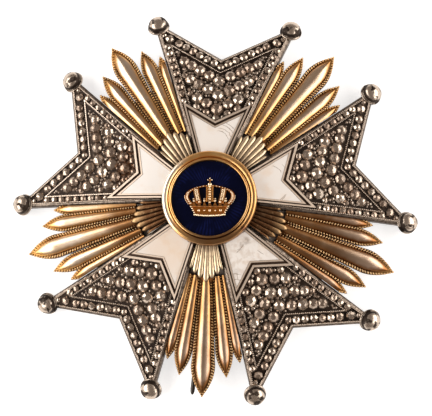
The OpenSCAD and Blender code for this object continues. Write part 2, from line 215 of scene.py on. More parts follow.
bpy.ops.object.select_all(action="DESELECT")
bpy.ops.mesh.primitive_plane_add(size=1.6)
board = bpy.context.object
board.name = "white_board"
board_white, board_place = finish(
    "board_white", Roughness=0.85, Emission_Color=(1, 1, 1, 1), Emission_Strength=0.66
)
board_cloud = board_place.noise(0.03).between(0.3, 0.7)
lay_on(board_white, Base_Color=board_cloud.mix((0.74, 0.74, 0.74, 1), (0.78, 0.78, 0.78, 1)))
board.data.materials.append(board_white)


# The silver arms.
# Each is one silver casting: a swallow-tailed plate with a row of small cut beads inside a milled
# edge line, a field of large cut beads and grains inside a second line, and a stud on each point.
# It is held by two rivets through the back plate, and has gone brown in its hollows.
arm_step = 72
arm_slope = math.radians(17)
stud_ring = 42
stud_half_angle = math.radians(20.4)
stud_lean = math.radians(18)
stud_foot_r = 2.38
stud_dome_r = 2.1
stud_z = 1.934
stud_out = stud_ring * math.cos(stud_half_angle)
apex_z = stud_z + stud_out * math.tan(arm_slope)

# Millimetres on the arm's own plane: across it, and down its slope from the star's apex.
arm_notch = 33.4
notch_angle = math.radians(29.8)
arm_foot = 0.4
side_angle = math.radians(20)
arm_t = 1.4
arm_inner = 10.2
arm_rivets = (14.5, 22.5)
rivet_r, rivet_head_r, rivet_head_t = 0.8, 1.5, 0.6
rim_floor = -0.02
rim_row_inset = 1.85
rim_pitch = 1.85
rim_bead_r = 1.0
rim_side_inset = 1.36
rim_side_top = 35.9
rim_side_pitch = 1.65
rim_side_r, rim_last_r = 0.88, 0.725
field_height = 0.22
field_bead_r = 1.42
column_pitch = 2.4
first_row = 27.6
row_pitch = 3.4
grain_pitch = 0.5
smallest_grain, largest_grain = 0.27, 0.56
cross_notch = 17.6
cross_angle = math.radians(30.5)


def start(add, **settings):
    """Adds a primitive with nothing else selected, and opens it in edit mode."""
    bpy.ops.object.select_all(action="DESELECT")
    add(**settings)
    bpy.ops.object.mode_set(mode="EDIT")
    return bpy.context.object


def choose(piece, rule, kind="faces"):
    """Selects the faces or vertices that a rule on them picks, and nothing else."""
    bpy.context.tool_settings.mesh_select_mode = (kind == "verts", False, kind == "faces")
    sheet = bmesh.from_edit_mesh(piece.data)
    bpy.ops.mesh.select_all(action="DESELECT")
    for part in getattr(sheet, kind):
        part.select_set(rule(part))
    sheet.select_flush(True)
    bmesh.update_edit_mesh(piece.data)


def outline(points, z=0):
    """A flat face with its corners at the given points, open in edit mode."""
    piece = start(
        bpy.ops.mesh.primitive_circle_add, vertices=len(points), radius=1, fill_type="NGON"
    )
    sheet = bmesh.from_edit_mesh(piece.data)
    corners = [v.co.copy() for v in sheet.verts]
    for k, (corner, point) in enumerate(zip(corners, points)):
        choose(piece, lambda v: v.index == k, "verts")
        bpy.ops.transform.translate(value=Vector((point[0], point[1], z)) - corner)
    bpy.ops.mesh.select_all(action="SELECT")
    bpy.ops.mesh.normals_make_consistent(inside=False)
    sheet = bmesh.from_edit_mesh(piece.data)
    if sheet.faces[:][0].normal.z < 0:
        bpy.ops.mesh.flip_normals()
    return piece


def raise_by(height, *insets):
    """Extrudes what is selected upwards, then steps inwards by pairs of width and rise."""
    bpy.ops.mesh.extrude_region_move(TRANSFORM_OT_translate={"value": (0, 0, height)})
    for thickness, depth in insets:
        bpy.ops.mesh.inset(thickness=thickness, depth=depth, use_even_offset=True)


def close(piece, smooth=None):
    """Leaves edit mode with doubles merged and faces outwards, and returns the piece."""
    bpy.context.tool_settings.mesh_select_mode = (True, False, False)
    bpy.ops.mesh.select_all(action="SELECT")
    bpy.ops.mesh.remove_doubles(threshold=0.001)
    bpy.ops.mesh.normals_make_consistent(inside=False)
    bpy.ops.object.mode_set(mode="OBJECT")
    bpy.ops.object.transform_apply()
    if smooth is not None:
        bpy.ops.object.shade_smooth_by_angle(angle=math.radians(smooth))
    return piece


def mark(piece, name, rule):
    """Stores a number at each vertex, by a rule on its place."""
    if name not in piece.data.attributes:
        piece.data.attributes.new(name, "FLOAT", "POINT")
    values = [rule(v.co) for v in piece.data.vertices]
    piece.data.attributes[name].data.foreach_set("value", values)
    return piece


def scatter(model, places, tones=None):
    """Copies of a model at the given places, joined in one mesh; the model is used up."""
    mesh = model.data
    count = len(mesh.vertices)
    points = np.empty(count * 3)
    mesh.vertices.foreach_get("co", points)
    points = np.c_[points.reshape(-1, 3), np.ones(count)]
    faces = [tuple(face.vertices) for face in mesh.polygons]
    smooth = [face.use_smooth for face in mesh.polygons]
    made = bpy.data.meshes.new(model.name + "_many")
    verts = np.vstack([(np.array(place) @ points.T).T[:, :3] for place in places])
    made.from_pydata(
        verts.tolist(),
        [],
        [tuple(i + k * count for i in face) for k in range(len(places)) for face in faces],
    )
    made.polygons.foreach_set("use_smooth", smooth * len(places))
    shine = np.ones(count)
    if "shine" in mesh.attributes:
        mesh.attributes["shine"].data.foreach_get("value", shine)
    for name, values in (
        ("shine", np.tile(shine, len(places))),
        ("tone", np.repeat(tones or [0.5] * len(places), count)),
    ):
        made.attributes.new(name, "FLOAT", "POINT").data.foreach_set("value", values)
    many = bpy.data.objects.new(made.name, made)
    bpy.context.scene.collection.objects.link(many)
    bpy.data.objects.remove(model)
    return many


def weld(parts, name):
    """Joins finished parts to one piece."""
    bpy.ops.object.select_all(action="DESELECT")
    for part in parts:
        part.select_set(True)
    bpy.context.view_layer.objects.active = parts[0]
    bpy.ops.object.join()
    parts[0].name = name
    parts[0].data.name = name
    return parts[0]


def set_down(piece, name, matrix, node, material, patina=0.0):
    """A copy of a finished piece at its place on the star, which stands for a CAD node."""
    copy = bpy.data.objects.new(name, piece.data.copy())
    bpy.context.scene.collection.objects.link(copy)
    mark(copy, "patina", lambda co: patina)
    copy.data.transform(Matrix.Scale(MM, 4) @ matrix)
    copy.data.name = name
    copy.data.materials.clear()
    copy.data.materials.append(material)
    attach(copy, "root")
    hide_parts(node)


def on_arm(i):
    """From an arm's plane, with Y down its slope from the apex, to the star."""
    return (
        Matrix.Rotation(math.radians(-arm_step * i), 4, "Z")
        @ Matrix.Translation((0, 0, apex_z))
        @ Matrix.Rotation(-arm_slope, 4, "X")
    )


def arm_side(t, inset):
    """How far out an arm's side is at t down its slope, or a line that is inset from it."""
    return arm_foot + math.tan(side_angle) * t - inset / math.cos(side_angle)


def swallowtail(inset=0, side_inset=0, inner=arm_inner):
    """Corners of an arm's outline, drawn in by an inset from its notch and one from its sides."""
    v = arm_notch - inset / math.cos(notch_angle)
    a = arm_side(0, side_inset)
    m, b = math.tan(notch_angle), math.tan(side_angle)
    x = (a + b * v) / (1 - b * m)
    point, foot = (x, v + m * x), (a + b * inner, inner)
    return [(0, v), point, foot, (-foot[0], inner), (-x, point[1])]


def cross_edge(x):
    """Where the enamelled cross's notch begins, along the slope."""
    return cross_notch + math.tan(cross_angle) * abs(x)


def arm_plates():
    """The plate up to its edge line and the small beads' floor, and the field with its own line."""
    plate = outline(swallowtail(), -arm_t)
    rounding = ((0.12, 0.14), (0.16, 0.1), (0.22, 0.11))
    edge_line = ((0.07, 0.2), (0.07, 0.07), (0.12, 0), (0.07, -0.07), (0.07, -0.22))
    raise_by(arm_t - 0.35, *rounding, *edge_line)
    close(plate, 25)
    inner = outline(swallowtail(inset=2.94, side_inset=1.94, inner=17), -0.05)
    raise_by(0.33, (0.08, 0.1), (0.16, 0), (0.08, -0.1), (0.08, -0.06))
    close(inner, 25)

    def plate_shine(co):
        """Dull on the floor under the small beads, brighter up the edge line."""
        return 0.02 if abs(co.z - rim_floor) < 0.01 else max(0.48 + 1.2 * co.z, 0.3)

    mark(plate, "shine", plate_shine)
    mark(inner, "shine", lambda co: (co.z - 0.3) / 0.06)
    return [mark(plate, "tone", lambda co: 0.5), mark(inner, "tone", lambda co: 0.8)]


def cut_bead(sides, rings, table):
    """A round bead cut in flat facets, with a flat on top; its radius is 1."""
    girdle, sunk = 0.22, 0.02
    bead = start(bpy.ops.mesh.primitive_uv_sphere_add, segments=sides, ring_count=rings, radius=1)
    bpy.ops.mesh.select_all(action="SELECT")
    bpy.ops.mesh.bisect(plane_co=(0, 0, girdle), plane_no=(0, 0, 1), clear_inner=True)
    bpy.ops.mesh.select_all(action="SELECT")
    bpy.ops.mesh.bisect(
        plane_co=(0, 0, table), plane_no=(0, 0, 1), clear_outer=True, use_fill=True
    )
    bpy.ops.mesh.select_all(action="SELECT")
    bpy.ops.transform.resize(value=(1.04, 1.04, 1.22), center_override=(0, 0, girdle))
    bpy.ops.transform.translate(value=(0, 0, -girdle - sunk))
    return mark(close(bead), "shine", lambda co: 0.55 + 0.25 * co.z)


def stand_at(x, y, z, turn=0, lean=(0, 0), size=(1, 1, 1)):
    """A place for a copy, with its turn, its lean two ways and its size."""
    return (
        Matrix.Translation((x, y, z))
        @ Matrix.Rotation(lean[0], 4, "X")
        @ Matrix.Rotation(lean[1], 4, "Y")
        @ Matrix.Rotation(turn, 4, "Z")
        @ Matrix.Diagonal((*size, 1))
    )


def rim_row():
    """Places and radii of the small beads: along the notch, and down both sides."""
    top = arm_notch - rim_row_inset / math.cos(notch_angle)
    row = [(0, top + 0.1, 0.8)]
    for side in (-1, 1):
        for k in range(6):
            s = 1.8 + k * rim_pitch
            x, t = s * math.cos(notch_angle), top + s * math.sin(notch_angle)
            row.append((side * x, t, rim_bead_r))
        # One in the arm's point and a very small one against the stud, then down to the cross.
        row += [(side * 11.75, 37.85, 1.08), (side * 13.1, 38.75, 0.6)]
        for k in range(9):
            t = rim_side_top - k * rim_side_pitch
            r = rim_side_r if k < 8 else rim_last_r
            row.append((side * arm_side(t, rim_side_inset), t, r))
    return row


def field():
    """Places and radii of the large beads, in rows that run as the notch does."""
    beads = []
    for row in range(4):
        for column in range(-4, 5):
            k = abs(column)
            x0 = k * (column_pitch - 0.1 * k)
            t0 = first_row + x0 * math.tan(notch_angle) - row * row_pitch
            # Pushed off the cross's notch and the field's sides, and made smaller to fit there.
            t = max(t0, cross_edge(x0) + 1)
            x = min(x0, arm_side(t, 3.05))
            edge = min(
                (arm_side(t, 2.45) - x) * math.cos(side_angle),
                (t - cross_edge(x) - 0.12) * math.cos(cross_angle),
            )
            r = min(field_bead_r - 0.05 * k, edge + 0.15)
            if r > 0.55 and t0 > cross_edge(x0) - 0.6 and x > x0 - 0.9:
                beads.append((math.copysign(x, column), t, r))
    return beads


def grit(beads, seed):
    """Places and radii of the small grains that fill the floor between the large beads."""
    draw = random.Random(seed)
    grains = []
    for row in range(40):
        for column in range(-26, 27):
            x = grain_pitch * (column + draw.uniform(-0.4, 0.4))
            t = 18 + grain_pitch * (row + draw.uniform(-0.4, 0.4))
            inside = (arm_side(t, 2.6) - abs(x)) * math.cos(side_angle)
            notch = arm_notch + abs(x) * math.tan(notch_angle)
            below_line = (notch - t) * math.cos(notch_angle) - 3.5
            above_cross = (t - cross_edge(x)) * math.cos(cross_angle) - 0.1
            gap = min(math.hypot(x - p[0], t - p[1]) - p[2] for p in beads + grains)
            # A grain may reach 0.14 under its neighbours' edges.
            r = min(inside, below_line, above_cross, gap + 0.14, largest_grain)
            if r > smallest_grain:
                grains.append((x, t, r))
    return grains


def bead_row(beads, z, seed, bead, rise):
    """Cut beads set by hand: each is turned and leans a little, and has its own tone."""
    draw = random.Random(seed)
    places, tones = [], []
    for x, t, r in beads:
        lean = (draw.uniform(-0.24, 0.24), draw.uniform(-0.24, 0.24))
        size = r * draw.uniform(0.98, 1.07)
        places.append(stand_at(x, t, z, draw.uniform(0, 6.28), lean, (size, size, rise * size)))
        tones.append(draw.random())
    return scatter(bead, places, tones)


def rib():
    """One plump rib of a milling, its radius 1 until it is laid."""
    return close(start(bpy.ops.mesh.primitive_ico_sphere_add, subdivisions=1, radius=1), 60)


def milling(paths, pitch, size):
    """Small ribs struck across raised lines, from one end of each path to the other."""
    places = []
    for a, b, z in paths:
        run = Vector(b) - Vector(a)
        count = int(run.length / pitch)
        turn = math.atan2(run.y, run.x)
        for k in range(count):
            p = Vector(a) + run * ((k + 0.5) / count)
            places.append(stand_at(p.x, p.y, z, turn, size=size))
    return scatter(rib(), places, [0.9] * len(places))


def cylinder(sides, radius, height, middle):
    """A cylinder open in edit mode, by the height that its middle is at."""
    return start(
        bpy.ops.mesh.primitive_cylinder_add,
        vertices=sides,
        radius=radius,
        depth=height,
        location=(0, 0, middle),
    )


def stud():
    """A tip stud: a thin round foot, a neck and a polished dome, flatter on top."""
    foot = cylinder(sides=40, radius=stud_foot_r, height=0.4, middle=-0.5)
    choose(foot, lambda f: f.normal.z > 0.9)
    bpy.ops.mesh.bevel(offset=0.12, segments=2)
    choose(foot, lambda f: f.normal.z > 0.9)
    bpy.ops.mesh.inset(thickness=0.3)
    bpy.ops.mesh.extrude_region_move(TRANSFORM_OT_translate={"value": (0, 0, 0.3)})
    close(foot, 30)
    dome = start(
        bpy.ops.mesh.primitive_uv_sphere_add, segments=28, ring_count=20, radius=stud_dome_r
    )
    bpy.ops.mesh.select_all(action="SELECT")
    bpy.ops.mesh.bisect(plane_co=(0, 0, -0.45), plane_no=(0, 0, 1), clear_inner=True)
    choose(dome, lambda v: v.co.z > 1.2, "verts")
    bpy.ops.transform.resize(value=(1, 1, 0.75), center_override=(0, 0, 1.2))
    bpy.ops.mesh.select_all(action="SELECT")
    bpy.ops.transform.resize(value=(1, 1, 0.88))
    close(dome, 60)
    mark(foot, "shine", lambda co: 0.65 if co.xy.length > stud_foot_r - 0.18 else 0.1)
    # The dome is dull and dark towards its foot, which paints the dark outline round its edge: a
    # painted dark reflection, with tarnish at the foot.
    mark(dome, "shine", lambda co: min(2.2 * co.z - 1.3, 0.84))
    return weld([foot, dome], "stud")


def rivet_heads(places):
    """Hammered rivet heads, their flat sides up, on the stems that hang from a plate."""
    head = cylinder(
        sides=28, radius=rivet_head_r, height=rivet_head_t, middle=-rivet_head_t / 2
    )
    choose(head, lambda f: f.normal.z < -0.9)
    bpy.ops.mesh.bevel(offset=0.36, segments=4)
    close(head, 40)
    stem = close(cylinder(sides=16, radius=rivet_r, height=1.1, middle=0.5), 40)
    below = Matrix.Translation((0, 0, -1))
    return scatter(weld([head, stem], "rivet"), [place @ below for place in places])


def silver_arm(seed):
    """One arm with all that stands on it; the seed sets how its beads lean and turn."""
    edge_line = swallowtail(inset=0.69, side_inset=0.69)
    field_line = swallowtail(inset=3.2, side_inset=2.2, inner=21)
    lines = []
    for corners, z in ((edge_line, 0.28), (field_line, 0.38)):
        for side in (-1, 1):
            notch, point, foot = (Vector((side * x, t, 0)) for x, t in corners[:3])
            lines += [(notch, point, z), (point, foot, z)]
    x, t = stud_ring * math.sin(stud_half_angle), stud_out / math.cos(arm_slope)
    on_points = [
        Matrix.Translation((side * x, t, 0))
        @ Matrix.Rotation(-side * stud_half_angle, 4, "Z")
        @ Matrix.Rotation(-stud_lean, 4, "X")
        for side in (-1, 1)
    ]
    beads = field()
    small, large, grain = (7, 6, 0.95), (8, 7, 0.96), (6, 5, 0.94)
    parts = arm_plates() + [
        bead_row(rim_row(), rim_floor, seed, cut_bead(*small), rise=0.8),
        bead_row(beads, field_height, seed + 50, cut_bead(*large), rise=0.86),
        mark(
            bead_row(grit(beads, 5), field_height, seed + 90, cut_bead(*grain), rise=0.9),
            "shine",
            lambda co: 0.56,
        ),
        milling(lines, pitch=0.42, size=(0.15, 0.19, 0.14)),
        scatter(stud(), on_points, [0.8, 0.8]),
        rivet_heads([Matrix.Translation((0, t, -arm_t)) for t in arm_rivets]),
    ]
    return weld(parts, "arm_model")


aged_silver, silver_place = finish("aged_silver", Specular_IOR_Level=0.2)
silver_tone = silver_place.stored("tone")
silver_cloud = silver_place.noise(0.28, 4).between(0.35, 0.65)
silver_grime = silver_place.noise(1.5, 4)
silver_speckle = silver_place.noise(3.2, 3)
on_stud = silver_place.away_from((0, 0, 2)).between(39.8, 40.3)
# The studs have gone brown in blotches.
blotch = on_stud * silver_place.noise(0.6, 3).between(0.48, 0.6)
silver_worn = silver_place.stored("shine") + 0.5 * (silver_grime - 0.5)
silver_worn = silver_worn + 0.5 * (silver_speckle - 0.5)
polish = (silver_worn - 0.7 * blotch).between(0.1, 0.8)
bright = silver_tone.mix((0.34, 0.25, 0.19, 1), (0.6, 0.5, 0.41, 1))
tarnish = silver_cloud.mix((0.016, 0.009, 0.006, 1), (0.04, 0.026, 0.018, 1))
# Something brown has dried on the left arm.
brown_stain = 1 - silver_place.away_from((-16.0, 7.0, 10.0)).between(3.0, 8.0)
brown_stain = silver_place.stored("patina") * brown_stain * silver_grime.between(0.35, 0.6)
lay_on(
    aged_silver,
    Base_Color=(brown_stain * 0.7).mix(polish.mix(tarnish, bright), (0.17, 0.07, 0.025, 1)),
    Metallic=0.55 + 0.4 * polish,
    Roughness=0.54 - 0.28 * polish - 0.14 * silver_tone + 0.12 * on_stud,
    Normal=silver_grime.bump(0.25, 0.04),
)

arm_model = silver_arm(11)
for i, patina in enumerate((0.0, 0.0, 0.0, 0.0, 1.0)):
    name = f"silver_arm_{i + 1}"
    set_down(arm_model, name, on_arm(i), f"arm_{i + 1}", aged_silver, patina)
bpy.data.objects.remove(arm_model)


# The gilt rays.
# Five pointed rays to a bundle, cast together: a rounded crown on a flat border that is struck
# with slanting milling. Two posts behind are riveted to the back plate. The gilding, laid on by
# fire, is worn bright on the crowns and brown in the grooves.
ray_slope = math.radians(13)
ray_tip_z = 3.35
ray_tip_r = 41.4
ray_inner = 15.6
widest_half = 4.2
border_t = 0.9
crown_height = 1.05
crown_share = 0.68
crown_short = 1.1
ridge = 0.3
rope_pitch = 0.62
rope_slant = 0.5
arm_gap = 0.12
ray_posts = (17.5, 25)
post_r, post_height = 1.5, 1.9
rays = (
    # angle from the bundle's axis, half angle, tip radius, length of the point, drop
    (0, widest_half, ray_tip_r, 6.6, 0),
    (7.8, 3.4, ray_tip_r - 4, 5.8, 0.35),
    (13, 2.7, ray_tip_r - 6.6, 5, 0.6),
)


def lancet(tip, half, point, steps):
    """Right edge of a pointed ray from its inner end to its tip, which is at the origin."""
    tan = math.tan(math.radians(half))
    edge = [(ray_inner * tan, ray_inner - tip)]
    for k in range(steps + 1):
        u = k / steps
        edge.append(((tip - point) * tan * (1 - u**2), -point * (1 - u)))
    return edge


def ray_border(tip, half, point):
    """The flat ray under the crown, with its upper edge eased."""
    right = lancet(tip, half, point, 10)
    border = outline(right + [(-x, y) for x, y in reversed(right[:-1])], -border_t)
    raise_by(border_t - 0.1, (0.14, 0.06))
    return mark(close(border, 25), "tone", lambda co: 0.0)


def ray_crown(tip, half, point):
    """A rounded body with a soft ridge, narrow towards the star's middle and drawn to a point."""
    wide = (tip - point) * math.tan(math.radians(half)) * crown_share
    length = tip - point - ray_inner
    sides, steps = 32, 12
    crown = start(
        bpy.ops.mesh.primitive_cone_add,
        vertices=sides,
        radius1=wide,
        radius2=wide * ray_inner / (tip - point),
        depth=length,
    )
    for k in range(1, steps + 1):
        scale = max(1 - (k / steps) ** 2, 0.03) / (1 - ((k - 1) / steps) ** 2)
        choose(crown, lambda f: f.normal.z < -0.99)
        bpy.ops.mesh.extrude_region_move(
            TRANSFORM_OT_translate={"value": (0, 0, -(point - crown_short) / steps)}
        )
        bpy.ops.transform.resize(value=(scale, scale, 1))
    bpy.ops.mesh.select_all(action="SELECT")
    bpy.ops.transform.rotate(value=math.radians(-90), orient_axis="X", center_override=(0, 0, 0))
    for k in range(-7, 8):
        a = math.radians(360 / sides * k)
        choose(
            crown, lambda v: v.co.z > 0 and abs(math.atan2(v.co.x, v.co.z) - a) < 0.05, "verts"
        )
        bpy.ops.transform.resize(
            value=(1, 1, 1 + ridge * (1 - abs(math.sin(a)))), center_override=(0, 0, 0)
        )
    bpy.ops.mesh.select_all(action="SELECT")
    bpy.ops.transform.resize(
        value=(1, 1, crown_height * half / widest_half / wide / (1 + ridge)),
        center_override=(0, 0, 0),
    )
    bpy.ops.transform.translate(value=(0, -point - length / 2, 0))
    bpy.ops.mesh.bisect(plane_co=(0, 0, -0.06), plane_no=(0, 0, 1), clear_inner=True)
    return mark(close(crown, 50), "tone", lambda co: 1.0)


def rope(tip, half, point):
    """The milling along both sides of a ray, slanted as a rope's strands are."""
    edge = [Vector((x, y, 0)) for x, y in lancet(tip, half, point, 12)]
    places, spare = [], 0.3
    for a, b in zip(edge, edge[1:]):
        run = b - a
        turn = math.atan2(run.y, run.x)
        inwards = Vector((-run.y, run.x, 0)).normalized()
        while spare < run.length:
            p = a + run * (spare / run.length)
            reach = min(max(p.x * (1 - crown_share) / 2, 0.2), 0.5) + 0.05
            p += inwards * (reach - 0.07)
            for side in (-1, 1):
                way = turn if side > 0 else math.pi - turn
                size = (0.22, reach * 1.25, 0.34)
                way += side * rope_slant
                places.append(stand_at(side * p.x, p.y, 0.0, way, size=size))
            spare += rope_pitch
        spare -= run.length
    return scatter(rib(), places, [0.45] * len(places))


def clear_of_arms(piece, side):
    """Cuts a piece on the bundle's axis along the edge of the arm to its right or left."""
    arm = Matrix.Rotation(math.radians(-arm_step / 2), 4, "Z") @ on_arm(0)
    edge = arm @ Vector((-arm_side(0, -arm_gap), 0, 0))
    into = arm.to_3x3() @ Vector((math.cos(side_angle), math.sin(side_angle), 0))
    bpy.ops.object.select_all(action="DESELECT")
    bpy.context.view_layer.objects.active = piece
    piece.select_set(True)
    bpy.ops.object.mode_set(mode="EDIT")
    bpy.ops.mesh.select_all(action="SELECT")
    bpy.ops.mesh.bisect(
        plane_co=(side * edge.x, edge.y, edge.z),
        plane_no=(side * into.x, into.y, into.z),
        clear_outer=True,
        use_fill=True,
    )
    bpy.ops.object.mode_set(mode="OBJECT")


def ray_bundle():
    """Five rays side by side, about the Y axis, with their posts."""
    parts = []
    for angle, half, tip, point, drop in rays:
        for side in (-1, 1) if angle else (1,):
            ray = weld(
                [ray_border(tip, half, point), ray_crown(tip, half, point), rope(tip, half, point)],
                "ray",
            )
            mark(ray, "relief", lambda co: co.z)
            mark(ray, "reach", lambda co: -co.y)
            tip_z = ray_tip_z + (ray_tip_r - tip) * math.tan(ray_slope) - drop
            ray.data.transform(
                Matrix.Rotation(math.radians(-side * angle), 4, "Z")
                @ Matrix.Translation((0, tip, tip_z))
                @ Matrix.Rotation(-ray_slope, 4, "X")
            )
            if angle > 10:
                clear_of_arms(ray, side)
            parts.append(ray)
    on_plate = [on_arm(0) @ Matrix.Translation((0, t, -arm_t)) for t in ray_posts]
    post = cylinder(sides=20, radius=post_r, height=post_height, middle=post_height / 2)
    post = close(post, 40)
    for part in (scatter(post, on_plate), rivet_heads(on_plate)):
        parts.append(mark(mark(part, "relief", lambda co: 0.0), "reach", lambda co: 20.0))
    return weld(parts, "bundle_model")


def between_arms(i):
    """From the Y axis to the place between two arms."""
    return Matrix.Rotation(math.radians(-arm_step * (i + 0.5)), 4, "Z")


fire_gilt, gilt_place = finish("fire_gilt", Metallic=1.0)
gilt_relief = gilt_place.stored("relief")
gilt_reach = gilt_place.stored("reach")
on_crown = gilt_place.stored("tone").between(0.6, 0.95)
outwards = 1 - gilt_reach.between(4, 16)
gilt_age = gilt_place.stored("patina") * (0.7 + 0.7 * outwards)
# Smoke-brown round the left bundle's root.
smoky = 1 - gilt_place.away_from((-17.0, -5.2, 9.0)).between(2.5, 9.0)
gilt_age = (gilt_age + 0.75 * smoky + 0.5 * (gilt_place.noise(0.35, 4) - 0.5)).between(0.1, 0.9)
near_tip = 1 - gilt_reach.between(2.5, 6)
gilt_cloud = gilt_place.noise(0.22, 4)
gilt_grime = gilt_place.noise(1.1, 5)
lift = (gilt_relief + 0.3 * (gilt_grime - 0.5)).between(0.3, 0.86)
ochre = gilt_cloud.between(0.35, 0.65).mix((0.64, 0.3, 0.07, 1), (0.82, 0.46, 0.15, 1))
# Dark brown: dirt in the borders' grooves, and also the painted shade along the crowns' foot.
dirt_and_painted_shade = gilt_cloud.between(0.35, 0.65).mix((0.04, 0.014, 0.004, 1), (0.12, 0.045, 0.013, 1))
# The crowns' flanks are orange as a painted reflection of the border, while their tops are pale
# where they are worn.
flank_painted_reflection = gilt_cloud.between(0.3, 0.7).mix((0.6, 0.3, 0.1, 1), (0.74, 0.45, 0.19, 1))
pale = gilt_cloud.between(0.3, 0.7).mix((0.76, 0.56, 0.37, 1), (0.82, 0.68, 0.56, 1))
# Painted shade: each crown goes dark along its foot, where it meets the border.
painted_shade_at_foot = 1 - gilt_relief.between(0.02, 0.22)
# Aged crowns: tarnish, painted shade on flanks and inner halves, painted highlight near the tip.
tarnish_and_painted_tip_light = outwards.mix((0.24, 0.13, 0.06, 1), (0.66, 0.49, 0.36, 1))
crown_gilt = gilt_age.mix(lift.mix(flank_painted_reflection, pale), lift.mix((0.28, 0.12, 0.04, 1), tarnish_and_painted_tip_light))
ochre = gilt_age.mix(ochre, (0.52, 0.28, 0.10, 1))
ochre = (0.55 * gilt_place.noise(0.5, 3).between(0.5, 0.65)).mix(ochre, dirt_and_painted_shade)
on_border = 0.6 * near_tip * gilt_relief.between(-0.1, -0.05)
# The ropes of the bundles above and below are full of dirt near the medallion.
upright = gilt_place.along((0, 1, 0)).math("ABSOLUTE").between(8, 13)
buried = upright * gilt_reach.between(8, 19)
border_lift = (gilt_relief.between(0.02, 0.2) + on_border) * (1 - 0.5 * buried)
rope_worn = gilt_relief.between(0.13, 0.27) * (0.6 - 0.15 * gilt_age) * (1 - 0.8 * buried)
border_gilt = rope_worn.mix(border_lift.mix(dirt_and_painted_shade, ochre), (0.93, 0.72, 0.44, 1))
lay_on(
    fire_gilt,
    # The crowns take the painted shade along their foot here.
    Base_Color=on_crown.mix(border_gilt, (0.85 * painted_shade_at_foot).mix(crown_gilt, dirt_and_painted_shade)),
    Roughness=0.32 + 0.1 * gilt_grime - 0.04 * on_crown,
    Normal=gilt_grime.bump(0.15, 0.03),
)

bundle_model = ray_bundle()
for i, patina in enumerate((0.35, 1.05, 0.7, 0.05, 0.25)):
    name, node = f"gilt_rays_{i + 1}", f"ray_bundle_{i + 1}"
    set_down(bundle_model, name, between_arms(i), node, fire_gilt, patina)
bpy.data.objects.remove(bundle_model)


# The inner fans.
# Between the enamelled arms lie short fans of seven half-round flutes with pointed ends, each a
# little shorter than its neighbour towards the sides. They are cast, their roots are held under
# the medallion's ring, and their gilding is worn to a pale silver gilt.
flute_pitch = 31 / 7
flute_root = 9.7
flute_height = 0.42
flute_sunk = 0.16
fan_length = 16.9
fan_fall = 0.8
fan_tip_r, fan_tip_z = 17.4, 9.72


def fan_flute(k):
    """One flute, from the ring to its drawn-out tip, by its number from the fan's middle."""
    body = fan_length - fan_fall * abs(k)
    wide = body * math.tan(math.radians(flute_pitch * 0.5))
    flute = start(
        bpy.ops.mesh.primitive_cone_add,
        vertices=20,
        radius1=wide,
        radius2=wide * flute_root / body,
        depth=body - flute_root,
    )
    for step, scale in ((0.4, 0.88), (0.4, 0.66), (0.35, 0.12)):
        choose(flute, lambda f: f.normal.z < -0.99)
        bpy.ops.mesh.extrude_region_move(TRANSFORM_OT_translate={"value": (0, 0, -step)})
        bpy.ops.transform.resize(value=(scale, scale, 1))
    bpy.ops.mesh.select_all(action="SELECT")
    bpy.ops.transform.rotate(value=math.radians(-90), orient_axis="X", center_override=(0, 0, 0))
    bpy.ops.transform.resize(value=(1, 1, flute_height / wide), center_override=(0, 0, 0))
    bpy.ops.transform.translate(value=(0, (body + flute_root) / 2, 0))
    bpy.ops.mesh.bisect(
        plane_co=(0, 0, -flute_sunk), plane_no=(0, 0, 1), clear_inner=True, use_fill=True
    )
    mark(close(flute, 50), "relief", lambda co: co.z)
    flute.data.transform(
        Matrix.Rotation(math.radians(-k * flute_pitch), 4, "Z")
        @ Matrix.Translation((0, 0, fan_tip_z + fan_tip_r * math.tan(ray_slope)))
        @ Matrix.Rotation(-ray_slope, 4, "X")
    )
    return flute


pale_gilt, fan_place = finish("pale_gilt", Metallic=1.0)
fan_relief = fan_place.stored("relief")
fan_grime = fan_place.noise(1.3, 4)
fan_reach = fan_place.away_from((0, 0, 13.4))
fan_lift = (fan_relief + 0.2 * (fan_grime - 0.5)).between(0.06, 0.37)
fan_lift = fan_lift * (0.25 + 0.75 * fan_reach.between(9.6, 12.6))
fan_age = (fan_place.stored("patina") + 0.6 * (fan_place.noise(0.4, 4) - 0.5)).between(0.1, 0.9)
fan_worn = fan_reach.between(14.0, 17.5) * 0.9 + 0.35 * fan_place.noise(2.4, 3).between(0.52, 0.7)
brown_crest = fan_worn.mix((0.12, 0.055, 0.024, 1), (0.5, 0.32, 0.16, 1))
lay_on(
    pale_gilt,
    Base_Color=fan_age.mix(
        fan_lift.mix((0.07, 0.028, 0.01, 1), (0.9, 0.71, 0.47, 1)),
        fan_lift.mix((0.04, 0.014, 0.005, 1), brown_crest),
    ),
    Roughness=0.52 - 0.12 * fan_lift,
    Normal=fan_grime.bump(0.15, 0.03),
)
fan_model = weld([fan_flute(k) for k in range(-3, 4)], "fan_model")
for side in (-1, 1):
    clear_of_arms(fan_model, side)
for i, patina in enumerate((0.3, 0.9, 0.05, 1.0, 0.4)):
    name, node = f"pale_fan_{i + 1}", f"ray_fan_{i + 1}"
    set_down(fan_model, name, between_arms(i), node, pale_gilt, patina)
bpy.data.objects.remove(fan_model)


# The enamelled cross.
# A silver body of five trays on a hub, with a doubled line round each, brown in the groove. It is
# riveted through the back plate. The trays are filled with warm white enamel, ground level, in
# which knocks have left a few fine cracks and dirty marks.
def dress(node, material):
    """Gives a CAD node its finished material."""
    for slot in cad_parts[node].material_slots:
        slot.material = material


